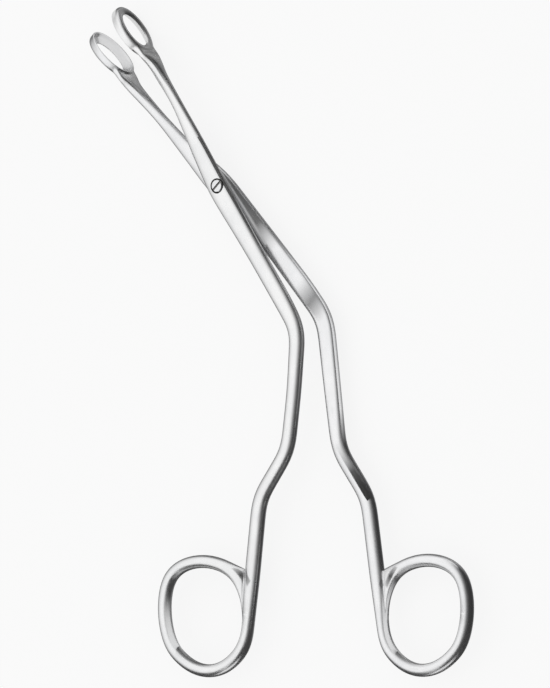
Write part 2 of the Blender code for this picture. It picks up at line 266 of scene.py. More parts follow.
def settle(thing: bpy.types.Object, cutter: bpy.types.Object, edge: float) -> None:
    """Make an object's modifiers part of its mesh, drop its cutter and shade it.

    Args:
        thing: the object.
        cutter: the object that its cut used.
        edge: angle in degrees from which an edge stays sharp.
    """
    graph = bpy.context.evaluated_depsgraph_get()
    mesh = bpy.data.meshes.new_from_object(thing.evaluated_get(graph),
                                           preserve_all_data_layers=True, depsgraph=graph)
    used = thing.data, cutter.data
    thing.modifiers.clear()
    thing.data = mesh
    mesh.name = thing.name
    bpy.data.objects.remove(cutter, do_unlink=True)
    for old in used:
        bpy.data.meshes.remove(old)
    mesh.polygons.foreach_set("use_smooth", np.ones(len(mesh.polygons), bool))
    mesh.set_sharp_from_angle(angle=math.radians(edge))
    LOG.info("%s: %d faces", thing.name, len(mesh.polygons))


# ---- finishes ----------------------------------------------------------------------------


@dataclass(frozen=True)
class Noise:
    """A soft noise: its repeats in each direction, its finer layers, the values that count.

    The repeats are per unit of its coordinates, and the turn is in radians about Z.
    """

    scale: Triple
    detail: float
    span: Pair
    turn: float = 0.0


class NodeSheet:
    """The node tree of a material or world, with short calls for the nodes used here.

    Layer_share is how much of its strength each finer layer of a noise keeps.
    """

    layer_share: float = 0.55

    def __init__(self, owner: bpy.types.Material | bpy.types.World) -> None:
        """Start with the nodes that a new material or world has."""
        owner.use_nodes = True
        self.owner = owner
        self.tree = owner.node_tree
        self.shader = self.tree.nodes.get("Principled BSDF")

    def add(self, kind: str, settings: dict[str, object] | None = None,
            **inputs: object) -> bpy.types.Node:
        """Add a node.

        Args:
            kind: the node's type.
            settings: the node's own properties.
            inputs: values, or sockets to link, by input name with _ for a space.

        Returns:
            The node.
        """
        node = self.tree.nodes.new(kind)
        for key, value in (settings or {}).items():
            setattr(node, key, value)
        for key, value in inputs.items():
            self.set(node.inputs[key.replace("_", " ")], value)
        return node

    def set(self, socket: Socket, value: object) -> None:
        """Link a socket to another one, or give it a value."""
        if isinstance(value, Socket):
            self.tree.links.new(value, socket)
        else:
            socket.default_value = value

    def pattern(self, source: Socket, noise: Noise,
                stretch: Triple = (1.0, 1.0, 1.0)) -> Socket:
        """Return a noise that is stretched and turned by a mapping of its coordinates.

        Args:
            source: coordinates.
            noise: what the noise is like.
            stretch: factor on its repeats in each direction.

        Returns:
            The noise's value.
        """
        place = self.add("ShaderNodeMapping", Vector=source, Rotation=(0.0, 0.0, noise.turn),
                         Scale=np.multiply(noise.scale, stretch).tolist())
        node = self.add("ShaderNodeTexNoise", Vector=place.outputs["Vector"], Scale=1.0,
                        Detail=noise.detail, Roughness=self.layer_share)
        return node.outputs["Fac"]

    def spread(self, value: Socket, old: Pair, new: Pair) -> Socket:
        """Return a value carried over from one range to another, and held within it."""
        node = self.add("ShaderNodeMapRange", Value=value, From_Min=old[0], From_Max=old[1],
                        To_Min=new[0], To_Max=new[1])
        return node.outputs["Result"]

    def combine(self, operation: str, first: Socket,
                second: Socket) -> Socket:
        """Return the sum of two values ("ADD") or the larger of the two ("MAXIMUM")."""
        node = self.add("ShaderNodeMath", {"operation": operation})
        self.set(node.inputs[0], first)
        self.set(node.inputs[1], second)
        return node.outputs["Value"]

    def seen(self) -> Socket:
        """Return 1 for a ray from the camera, a reflection or through glass, and 0 otherwise."""
        path = self.add("ShaderNodeLightPath")
        total = path.outputs["Is Camera Ray"]
        for name in ("Is Glossy Ray", "Is Transmission Ray"):
            total = self.combine("MAXIMUM", total, path.outputs[name])
        return total

    def steel(self, share: Socket, tones: tuple[Triple, Triple],
              roughness: Socket, relief: Socket,
              depth: float) -> None:
        """Make the shader a metal.

        Args:
            share: how far the colour is on the way from the first tone to the second.
            tones: the two tones.
            roughness: how dull the metal is.
            relief: height of its surface, as a value.
            depth: how many millimetres a value of 1 is high.
        """
        tone = self.add("ShaderNodeMix", {"data_type": "RGBA"})
        self.set(tone.inputs["Factor"], share)
        for label, colour in zip("AB", tones):
            self.set(tone.inputs[label], (*colour, 1.0))
        bump = self.add("ShaderNodeBump", Strength=1.0, Distance=depth * MM, Height=relief)
        for label, value in (("Base Color", tone.outputs["Result"]), ("Metallic", 1.0),
                             ("Roughness", roughness), ("Normal", bump.outputs["Normal"])):
            self.set(self.shader.inputs[label], value)

    def glow_over(self, base: Socket, share: Socket,
                  strength: Socket | float) -> None:
        """Show a base shader where the share is 0 and a white glow where it is 1.

        Args:
            base: output of the base shader.
            share: how much of the glow shows.
            strength: how bright the glow is.
        """
        glow = self.add("ShaderNodeEmission", Color=WHITE, Strength=strength)
        mix = self.add("ShaderNodeMixShader", Fac=share)
        self.set(mix.inputs[1], base)
        self.set(mix.inputs[2], glow.outputs["Emission"])
        self.set(self.tree.nodes["Material Output"].inputs["Surface"], mix.outputs["Shader"])


@dataclass(frozen=True)
class PolishedSteel:
    """Polished instrument steel: clouded tone, polishing lines along the bar, a few hairlines.

    The tone and the polish each follow a soft noise, the cloud and the breath. The lines are a
    noise stretched along the bar; the hairlines are the crest of a second one, turned a little
    from the bar's run. Lines and hairs are given per centimetre, lines for a width of 1 mm.
    """

    name: str
    bright: Triple
    deep: Triple
    polish: Pair
    line_width: float
    line_depth: float
    hairline: float
    follows: Coordinates
    cloud: Noise = Noise((75.0, 75.0, 75.0), 4.0, (0.35, 0.65))
    breath: Noise = Noise((320.0, 320.0, 320.0), 3.0, (0.3, 0.7))
    lines: Noise = Noise((0.7, 10.0, 10.0), 3.0, (0.4, 0.7))
    hairs: Noise = Noise((1.6, 26.0, 26.0), 1.0, (0.66, 0.74), 0.35)
    line_dullness: float = 0.03
    hair_relief: float = -0.6

    def make(self) -> bpy.types.Material:
        """Return the material with its nodes."""
        sheet = NodeSheet(bpy.data.materials.new(self.name))
        places = sheet.add("ShaderNodeTexCoord")
        space, run = places.outputs["Object"], places.outputs[self.follows.value]
        scale = 1.0 if self.follows is Coordinates.RUN else 100.0
        fine = scale / self.line_width
        lines = sheet.pattern(run, self.lines, (scale, fine, fine))
        hairs = sheet.pattern(run, self.hairs, (scale, scale, scale))
        crest = sheet.spread(hairs, self.hairs.span, UNIT)
        polish = sheet.spread(sheet.pattern(space, self.breath), self.breath.span, self.polish)
        dulled = sheet.combine("ADD", polish, sheet.spread(lines, self.lines.span,
                                                           (0.0, self.line_dullness)))
        worn = sheet.combine("ADD", dulled, sheet.spread(crest, UNIT, (0.0, self.hairline)))
        relief = sheet.combine("ADD", lines, sheet.spread(crest, UNIT, (0.0, self.hair_relief)))
        share = sheet.spread(sheet.pattern(space, self.cloud), self.cloud.span, UNIT)
        sheet.steel(share, (self.deep, self.bright), worn, relief, self.line_depth)
        return sheet.owner


@dataclass(frozen=True)
class RecessSteelWithPaintedShade:
    """Rough steel inside a bore or slot, with the fine rings that a drill leaves; its dark tones
    are painted shade.
    """

    name: str = "recess_steel_with_painted_shade"
    # Tones far below the polished steel's: painted shade in the bore and slot.
    bright: Triple = (0.42, 0.415, 0.41)
    deep: Triple = (0.24, 0.236, 0.23)
    cloud: Noise = Noise((900.0, 900.0, 900.0), 3.0, (0.3, 0.7))
    rings: Noise = Noise((200.0, 200.0, 9000.0), 2.0, (0.3, 0.7))
    roughness: Pair = (0.45, 0.6)
    ring_depth: float = 0.004

    def make(self) -> bpy.types.Material:
        """Return the material with its nodes, or the one that was made before."""
        made = bpy.data.materials.get(self.name)
        if made:
            return made
        sheet = NodeSheet(bpy.data.materials.new(self.name))
        space = sheet.add("ShaderNodeTexCoord").outputs["Object"]
        share = sheet.spread(sheet.pattern(space, self.cloud), self.cloud.span, UNIT)
        rings = sheet.pattern(space, self.rings)
        roughness = sheet.spread(rings, self.rings.span, self.roughness)
        sheet.steel(share, (self.deep, self.bright), roughness, rings, self.ring_depth)
        return sheet.owner


LIMB_POLISH = dict(polish=(0.25, 0.32), line_width=0.25, line_depth=0.0016, hairline=0.10,
                   follows=Coordinates.RUN)


# ---- jaw cup -----------------------------------------------------------------------------


@dataclass(frozen=True)
class JawCup:
    """The oval cup of one jaw with its hole, carried round an oval as one closed profile.

    The profile is (distance outward from the closing plane, half length, half width).
    """

    centre: float = 54.4
    face: float = 0.06
    lean: float = math.radians(4.0)
    stations: int = 40
    window: Window = (15, 24, 3, 6)
    profile: tuple[Triple, ...] = (
        (0.0, 7.80, 5.38), (0.0, 8.18, 5.73), (0.12, 8.30, 5.85), (0.60, 8.30, 5.85),
        (1.20, 8.30, 5.85), (1.80, 8.28, 5.83), (2.40, 8.00, 5.54), (2.64, 7.30, 4.85),
        (2.52, 6.35, 4.05), (2.22, 5.62, 3.52), (1.98, 5.42, 3.38), (1.82, 5.75, 3.62),
        (1.20, 6.95, 4.62), (1.00, 7.25, 4.88), (0.25, 7.70, 5.30))

    def place(self, side: int, outward: Array, along: Array, rise: Array) -> Array:
        """Return points of the jaw's own frame in the frame of the pivot.

        The frame is turned about Z by the half opening, and mirrored for the lower limb:
        x = side (outward cos + along sin), y = along cos - outward sin, z = rise.
        """
        x = side * (outward * math.cos(self.lean) + along * math.sin(self.lean))
        y = along * math.cos(self.lean) - outward * math.sin(self.lean)
        return np.stack((x, y, rise), axis=-1)

    def surface(self, side: int) -> Array:
        """Return the cup's grid, stations round the oval by points of the profile.

        At the angle a, along = centre + half length cos(a) and rise = half width sin(a), and
        both half axes are made a little longer against the shrinking of the subdivision.
        """
        swell = 3.0 / (2.0 + math.cos(2.0 * math.pi / self.stations))
        angle = 2.0 * math.pi * (np.arange(self.stations) + 0.5) / self.stations
        outward, half_length, half_width = np.array(self.profile).T
        rise = np.outer(np.sin(angle), swell * half_width)
        return self.place(side, np.broadcast_to(outward + self.face, rise.shape),
                          self.centre + np.outer(np.cos(angle), swell * half_length), rise)


# ---- finger ring -------------------------------------------------------------------------


@dataclass(frozen=True)
class FingerRing:
    """The closed middle line of a finger ring: four cubic arcs between the ends of two axes."""

    centre: Pair
    lean: float
    half_axes: Pair = (16.3, 15.25)
    handles: tuple[float, float, float, float] = (0.41, 0.61, 0.46, 0.46)
    bar: float = 3.7
    squareness: float = 2.4
    arc_steps: int = 90

    def line(self, side: int) -> Array:
        """Return the middle line as points (x, y).

        Each arc is (1-t)^3 start + 3t(1-t)^2 leaving handle + 3t^2(1-t) arriving handle + t^3 end.
        """
        a, b = self.half_axes
        compass = np.array(((1.0, 0.0), (0.0, 1.0), (-1.0, 0.0), (0.0, -1.0)))
        knots = compass * (a, b)
        along = np.column_stack((-a * compass[:, 1], b * compass[:, 0]))
        reach = np.array(self.handles)[:, None]
        leave = knots + along * reach
        arrive = np.roll(knots - along * np.roll(reach, 1, axis=0), -1, axis=0)
        t = np.linspace(0.0, 1.0, self.arc_steps, endpoint=False)[None, :, None]
        arcs = ((1 - t) ** 3 * knots[:, None] + 3 * t * (1 - t) ** 2 * leave[:, None]
                + 3 * t ** 2 * (1 - t) * arrive[:, None]
                + t ** 3 * np.roll(knots, -1, axis=0)[:, None])
        lean = math.radians(self.lean)
        turn = np.array(((math.cos(lean), -math.sin(lean)), (math.sin(lean), math.cos(lean))))
        return arcs.reshape(-1, 2) * (1.0, side) @ turn.T + self.centre

    def touch(self, line: Array, point: Array, side: int) -> int:
        """Return the index at which a straight line from a point touches the middle line."""
        to_centre = np.array(self.centre) - point
        offsets = line - point
        across = to_centre[0] * offsets[:, 1] - to_centre[1] * offsets[:, 0]
        return int(np.argmax(side * np.arctan2(across, offsets @ to_centre)))


# ---- limb --------------------------------------------------------------------------------


@dataclass(frozen=True)
class Bend:
    """One corner of a limb's centre line and the bar's section there, in millimetres.

    Squareness is the power of the section's outline, 2 for an ellipse and more for a rounded
    oblong. Lift is the share of the way from the middle plane to lying on the other limb.
    """

    x: float
    y: float
    width: float
    depth: float
    squareness: float
    lift: float
    trim: float


@dataclass
class Limb:
    """One limb in one piece: cup, web, arm, lap, shank and finger ring, with the pivot's bore."""

    name: str
    body: str
    side: Side
    bends: tuple[Bend, ...]
    ring: FingerRing
    bore: tuple[Pair, ...]
    finish: PolishedSteel
    recess: RecessSteelWithPaintedShade = RecessSteelWithPaintedShade()
    cup: JawCup = field(default_factory=JawCup)
    web: tuple[Triple, ...] = ((8.9, 7.9, 2.4), (10.4, 6.4, 2.8), (12.2, 4.7, 3.1))
    web_drop: float = 0.55
    web_squareness: float = 3.2
    lap_gap: float = 0.06
    round_points: int = 24
    spacing: float = 1.7
    corner_steps: int = 13
    ring_swell: float = 1.0115
    root: Triple = (3.5, 3.4, 2.3)
    root_share: float = 0.06
    crotch_share: float = 0.22
    crotch_end_share: float = 0.026
    crotch_height: float = 16.6
    crotch_stand_off: float = 3.05
    crotch_lower: float = 1.9
    crotch_depth: float = 1.8
    crotch_squareness: float = 3.0
    crotch_radius: float = 15.0
    foot: tuple[Triple, ...] = ((16.0, 4.7, 0.3), (9.0, 4.4, 0.25), (3.0, 3.7, 0.05))
    foot_depth: float = 3.35
    foot_squareness: float = 2.4
    window_rows: int = 8
    window_columns: int = 4
    cup_grain: float = 0.11
    join_grain: Pair = (0.2, 0.1)
    bore_steps: int = 96
    levels: int = 2
    edge: float = 38.0

    def __post_init__(self) -> None:
        """Work out the ring's line, the index at which the limb touches it, and the axes there.

        Up runs from the touching point along the limb, and toward square to it, ringwards.
        """
        side = self.side.value
        wrist = np.array((self.bends[-1].x, self.bends[-1].y))
        self.line = self.ring.line(side)
        self.touch = self.ring.touch(self.line, wrist, side)
        self.up = unit(wrist - self.line[self.touch])
        beside = np.array((-self.up[1], self.up[0]))
        self.toward = beside * np.sign(beside @ (self.ring.centre - self.line[self.touch]))

    def web_rows(self) -> Array:
        """Return rows (x, y, z, width, depth, squareness) of the web below the cup."""
        below, rise, thickness = np.array(self.web).T
        outward = self.cup.face + self.web_drop + 0.5 * thickness
        points = self.cup.place(self.side.value, outward, self.cup.centre - below, 0.0 * below)
        square = np.full(len(below), self.web_squareness)
        return np.column_stack((points, thickness, rise, square))

    def bend_rows(self) -> Array:
        """Return rows (x, y, z, width, depth, squareness) at the bends."""
        return np.array([(bend.x, bend.y,
                          self.side.value * bend.lift * (self.lap_gap + 0.5 * bend.depth),
                          bend.width, bend.depth, bend.squareness) for bend in self.bends])

    def rounded(self, chain: Array) -> Array:
        """Return the rows with each bend rounded off by an arc.

        Args:
            chain: the last row of the web, the rows at the bends, and the row at the ring.
        """
        before, here, after = chain[:-2], chain[1:-1], chain[2:]
        trim = np.array([bend.trim for bend in self.bends])[:, None]
        back = np.linalg.norm((before - here)[:, :2], axis=1)[:, None]
        on = np.linalg.norm((after - here)[:, :2], axis=1)[:, None]
        enter = here + (before - here) * trim / back
        leave = here + (after - here) * trim / on
        t = np.linspace(0.0, 1.0, self.corner_steps)[None, :, None]
        arcs = arc(enter[:, None], here[:, None], leave[:, None], t)
        return arcs.reshape(-1, chain.shape[1])

    def foot_rows(self) -> Array:
        """Return rows of the limb's foot above the ring: it is broadened towards the ring."""
        height, width, shift = np.array(self.foot).T
        flat = self.line[self.touch] + height[:, None] * self.up + shift[:, None] * self.toward
        return np.column_stack((flat, np.zeros(len(height)), width,
                                np.full(len(height), self.foot_depth),
                                np.full(len(height), self.foot_squareness)))

    def centre_rows(self) -> tuple[Array, float, float]:
        """Work out even rows from the web to the ring's crotch.

        The ring is followed from the touching point until the crotch begins. Rows are read off
        at even lengths and then each is mixed with its neighbours, 1 to 2 to 1.

        Returns:
            The rows, the spacing between them and the length at the touching point.
        """
        count = len(self.line)
        steps = np.arange(round((1.0 - self.crotch_share) * count) + 1)
        path = self.line[(self.touch - steps) % count]
        size = self.ring.bar * self.ring_swell
        fade = np.clip(steps / (self.root_share * count), 0.0, 1.0)[:, None]
        bar = np.array((size, size, self.ring.squareness))
        section = (1 - fade) * np.array(self.root) + fade * bar
        ring_rows = np.column_stack((path, np.zeros(len(steps)), section))
        web = self.web_rows()
        foot = self.foot_rows()
        middle = self.rounded(np.vstack((web[-1], self.bend_rows(), foot[0])))
        rows = np.vstack((web, middle, foot, ring_rows))
        length = np.concatenate(((0.0,), np.linalg.norm(np.diff(rows[:, :2], axis=0),
                                                        axis=1).cumsum()))
        spaces = round(length[-1] / self.spacing)
        even = np.linspace(0.0, length[-1], spaces + 1)
        table = np.column_stack([np.interp(even, length, column) for column in rows.T])
        table[1:-1] = 0.25 * (table[:-2] + 2.0 * table[1:-1] + table[2:])
        return table, length[-1] / spaces, length[len(web) + len(middle) + len(foot)]

    def crotch_rows(self) -> tuple[Array, Array]:
        """Work out the rows of the bar as it spreads into the crotch.

        Each section spans from the ring's inner edge to an outer edge, which leaves the ring and
        curves up to the limb by an arc. The arc's corner is the point in which the ring's and
        the limb's edges, drawn on straight, meet.

        Returns:
            Rows like those of the centre line, and unit vectors in the plane of motion.
        """
        line, touch, side = self.line, self.touch, self.side.value
        count = len(line)
        tangent = unit(np.roll(line, -1, axis=0) - np.roll(line, 1, axis=0))
        inward = side * np.column_stack((-tangent[:, 1], tangent[:, 0]))
        half = 0.5 * self.ring.bar
        start = touch + self.crotch_share * count
        end = touch + self.crotch_end_share * count
        steps = round((start - end) / count * 2.0 * math.pi * self.crotch_radius / self.spacing)
        q = np.linspace(0.0, 1.0, steps + 1)[1:]
        places = start + (end - start) * q
        spots = np.column_stack([np.interp(places, np.arange(count), column, period=count)
                                 for column in (line + half * inward).T])
        leaving = round(start) % count
        ring_edge = line[leaving] - half * inward[leaving]
        limb_edge = (line[touch] + self.crotch_height * self.up
                     + self.crotch_stand_off * self.toward)
        legs = np.linalg.solve(np.column_stack((-tangent[leaving], self.up)),
                               limb_edge - ring_edge)
        corner = ring_edge - legs[0] * tangent[leaving]
        outer = arc(ring_edge, corner, limb_edge, q[:, None])
        span = outer - spots
        width = np.linalg.norm(span, axis=1)
        across = side * span / width[:, None]
        size = self.ring.bar * self.ring_swell
        depth = size + (self.crotch_depth - size) * q
        square = self.ring.squareness + (self.crotch_squareness - self.ring.squareness) * q
        swell = 1.0 + (self.ring_swell - 1.0) * (1.0 - q)
        rows = np.column_stack((0.5 * (outer + spots), np.zeros(len(q)), width * swell, depth,
                                square))
        return rows, across

    def sections(self, rows: Array, across: Array) -> Array:
        """Return the grid of the bar: a rounded oblong carried along the rows.

        Round the section, place across = half width sign(cos) |cos|^(2/p) and height =
        half depth sign(sin) |sin|^(2/p), with p the squareness.

        Args:
            rows: rows (x, y, z, width, depth, squareness).
            across: unit vector of each row's width, in the plane of motion.

        Returns:
            Points as rows by places round the section by 3.
        """
        angle = 2.0 * math.pi * np.arange(self.round_points) / self.round_points
        power = 2.0 / rows[:, 5:6]
        wide = 0.5 * rows[:, 3:4] * np.sign(np.cos(angle)) * np.abs(np.cos(angle)) ** power
        high = 0.5 * rows[:, 4:5] * np.sign(np.sin(angle)) * np.abs(np.sin(angle)) ** power
        flat = rows[:, None, :2] + wide[:, :, None] * across[:, None, :]
        return np.concatenate((flat, (rows[:, 2:3] + high)[:, :, None]), axis=2)

    def cage(self) -> Skin:
        """Return the limb's closed cage, without its bore."""
        side = self.side.value
        rows, step, reached = self.centre_rows()
        heading = unit(np.gradient(rows[:, :2], axis=0))
        across = np.column_stack((-heading[:, 1], heading[:, 0]))
        crotch, crotch_across = self.crotch_rows()
        rows = np.vstack((rows, crotch))
        across = np.vstack((across, crotch_across))

        lower = round((reached - self.crotch_lower) / step)
        middle_column = self.round_points // 2 if side > 0 else 0
        half = self.window_columns // 2
        opening = (lower - self.window_rows, lower, middle_column - half, middle_column + half)
        skin = Skin()
        length = np.arange(len(rows)) * step / 10.0
        bar = skin.add_tube(self.sections(rows, across), length, False, (opening,))
        cup = self.cup.surface(side)
        turns = np.arange(len(cup) + 1) * self.cup_grain
        before, after = self.join_grain
        shell = skin.add_tube(cup, turns, True, (self.cup.window,))
        skin.bridge(skin.rim(shell, self.cup.window), bar[0], -before, 0.0)
        skin.bridge(bar[-1], skin.rim(bar, opening), length[-1], length[-1] + after)
        return skin

    def build(self) -> bpy.types.Object:
        """Build the limb's surface, cut its bore and give it its finish."""
        name = self.name + "_surface"
        thing = put_in_scene(self.cage().mesh(name))
        thing.data.materials.append(self.finish.make())
        rounding = thing.modifiers.new("Rounding", "SUBSURF")
        rounding.levels = rounding.render_levels = self.levels
        drill = put_in_scene(turned(self.name + "_drill", self.bore, self.bore_steps))
        # The bore's walls take the recess steel, whose dark tone is painted shade.
        drill.data.materials.append(self.recess.make())
        cut(thing, drill)
        settle(thing, drill, self.edge)
        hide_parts(self.name)
        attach(thing, self.body)
        return thing


# ---- pivot screw -------------------------------------------------------------------------


@dataclass
class PivotScrew:
    """The slotted pivot screw, its head sunk in the upper limb.

    The slot is cut by a block as long as slot_reach head radii and centred on the head's top.
    """

    finish: PolishedSteel
    recess: RecessSteelWithPaintedShade = RecessSteelWithPaintedShade()
    head_radius: float = 1.78
    head_height: float = 0.95
    proud: float = 0.12
    dome: float = 0.06
    dome_points: int = 7
    head_edge: float = 0.16
    shank_radius: float = 1.3
    lap: float = 2.66
    foot_recess: float = 0.1
    foot_edge: float = 0.15
    slot_width: float = 0.66
    slot_depth: float = 0.45
    slot_reach: float = 3.0
    slot_turn: float = -87.0
    rounding: float = 0.04
    edge: float = 30.0
    steps: int = 96

    def slot_cutter(self, top: float) -> bpy.types.Object:
        """Return the block that cuts the slot into the head, whose top is at this height."""
        form = bmesh.new()
        bmesh.ops.create_cube(form, size=MM)
        place = (Matrix.Translation(Vector(PIVOT + (0.0, 0.0, top)) * MM)
                 @ Matrix.Rotation(math.radians(self.slot_turn), 4, "Z")
                 @ Matrix.Diagonal((self.slot_width, self.slot_reach * self.head_radius,
                                    2.0 * self.slot_depth, 1.0)))
        bmesh.ops.transform(form, matrix=place, verts=form.verts)
        mesh = bpy.data.meshes.new("pivot_screw_slot")
        form.to_mesh(mesh)
        form.free()
        # The slot's walls take the recess steel, whose dark tone is painted shade.
        mesh.materials.append(self.recess.make())
        return put_in_scene(mesh)

    def build(self) -> bpy.types.Object:
        """Build the screw: a domed head and shank turned about the axis, with its slot cut."""
        top = self.lap + self.proud
        flat = self.head_radius - self.head_edge
        share = np.linspace(0.0, 1.0, self.dome_points)
        dome = np.column_stack((flat * share, top + self.dome * (1.0 - share * share))).tolist()
        foot = -(self.lap - self.foot_recess)
        under = top - self.head_height
        profile = (*dome, (self.head_radius, top - self.head_edge), (self.head_radius, under),
                   (self.shank_radius, under), (self.shank_radius, foot + self.foot_edge),
                   (self.shank_radius - self.foot_edge, foot), (0.0, foot))
        thing = put_in_scene(turned("pivot_screw_surface", profile, self.steps))
        thing.data.materials.append(self.finish.make())
        slot = self.slot_cutter(top)
        cut(thing, slot)
        rounding = thing.modifiers.new("Edges", "BEVEL")
        rounding.width = self.rounding * MM
        rounding.segments = 2
        rounding.limit_method = "ANGLE"
        rounding.angle_limit = math.radians(self.edge)
        settle(thing, slot, self.edge)
        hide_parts("pivot_screw")
        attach(thing, "lower_body")
        return thing


# ---- studio ------------------------------------------------------------------------------


@dataclass(frozen=True)
class Card:
    """A small toned card near the instrument, which only its steel can see.

    It runs from start to end in the plane of motion, with tones and covers at even places along
    it. All lengths are in millimetres about the pivot.
    """

    name: str
    start: Pair
    end: Pair
    tones: tuple[float, ...]
    covers: tuple[float, ...]

    def strip(self, t: Array, level: float, edges: Array) -> Array:
        """Return points at the shares t of the card's line at a level, moved to both edges."""
        start, end = np.array((*self.start, level)), np.array((*self.end, level))
        return PIVOT + start + t * (end - start) + edges

    def grid(self, t: Array, shown: Array) -> Array:
        """Return points at the shares t of the card's length, as rows by its 2 edges by 3."""
        raise NotImplementedError


@dataclass(frozen=True)
class Flag(Card):
    """A level card held where the flat face below it shows it to the camera."""

    width: float
    face: float
    distance: float

    def grid(self, t: Array, shown: Array) -> Array:
        """Return the points of both long sides, held off the face at its height."""
        run = np.subtract(self.end, self.start)
        beside = unit(np.array((-run[1], run[0], 0.0)))
        sides = self.width * np.array((-0.5, 0.5))[None, :, None] * beside
        return self.strip(t, self.face, sides + self.distance * shown)


@dataclass(frozen=True)
class Wall(Card):
    """A card that stands upright beside a piece, from the floor height to the top height."""

    floor: float
    top: float

    def grid(self, t: Array, shown: Array) -> Array:
        """Return the points of the foot and of the top."""
        height = (self.top - self.floor) * np.array((0.0, 1.0))[None, :, None]
        return self.strip(t, self.floor, height * RISE)


def alike(kind: type[Card], ends: dict[str, tuple[Pair, Pair]],
          **shared: object) -> tuple[Card, ...]:
    """Return cards of one kind that differ only in their names and ends."""
    return tuple(kind(name=name, start=start, end=end, **shared)
                 for name, (start, end) in ends.items())


def fill_and_light(name: str, start: Pair, end: Pair, fill: Pair,
                   covers: tuple[float, ...]) -> tuple[Wall, Wall]:
    """Return a wall of the fill's tones low beside the lower limb, and a light one above it."""
    return (Wall(name + "_fill", start, end, fill, covers, floor=-7.0, top=-3.0),
            Wall(name + "_light", start, end, (0.95, 0.95), covers, floor=-3.0, top=0.0))


CARDS = (
    Flag("crossing_flag", (3.6, 14.0), (3.4, -26.0), (0.1, 0.1, 0.1, 0.12, 0.4),
         (1.0, 1.0, 1.0, 0.95, 0.0), width=10.0, face=-0.1, distance=3.0),
    Flag("knee_flag", (2.9, -38.5), (4.0, -52.0), (0.4, 0.3, 0.2, 0.25, 0.4),
         (0.0, 0.5, 0.85, 0.45, 0.0), width=8.0, face=-0.2, distance=2.5),
    Flag("wrist_flag", (-15.8, -81.2), (-16.2, -102.0), (0.5, 0.25, 0.1, 0.03, 0.03),
         (0.0, 0.5, 1.0, 1.0, 1.0), width=5.4, face=-0.2, distance=1.5),
    *alike(Flag, {"left_crotch_flag": ((-66.0, -85.0), (-65.8, -92.6)),
                  "right_crotch_flag": ((-23.5, -122.0), (-30.6, -124.0))},
           tones=(0.06, 0.04, 0.06), covers=(0.4, 1.0, 0.5), width=2.2, face=0.9, distance=2.0),
    *alike(Flag, {"upper_web_flag": ((8.9, 46.4), (7.0, 36.0)),
                  "lower_web_flag": ((-1.4, 45.6), (-1.9, 36.0))},
           tones=(0.04, 0.04, 0.1), covers=(1.0, 1.0, 0.2), width=3.4, face=5.9, distance=0.0),
    Wall("crossing_wall", (2.8, 6.0), (0.35, -22.5), (0.5, 0.5), (1.0, 1.0), floor=-0.1, top=1.2),
    *fill_and_light("shank", (6.7, -20.0), (7.0, -51.8), (0.3, 0.42), (0.0, 1.0, 1.0)),
    *fill_and_light("handle", (7.0, -51.8), (-14.6, -83.4), (0.42, 0.42),
                    (1.0, 1.0, 1.0, 1.0, 0.0)),
    *alike(Wall, {"left_ring_wall": ((-93.0, -80.4), (-75.6, -95.6)),
                  "right_ring_wall": ((-34.2, -130.6), (-16.8, -145.8))},
           tones=(0.06, 0.06), covers=(0.0, 0.9, 1.0, 1.0, 0.5), floor=-6.0, top=14.0),
    *alike(Wall, {"left_ring_fill": ((-88.9, -78.8), (-100.0, -91.6)),
                  "right_ring_fill": ((-27.4, -126.0), (-41.2, -141.8))},
           tones=(0.9, 0.9), covers=(0.0, 0.8, 1.0, 1.0, 0.0), floor=-3.6, top=9.0),
    Wall("cup_wall", (0.2, 92.0), (0.2, 48.5), (0.9, 0.84), (1.0, 1.0), floor=-7.5, top=6.0))


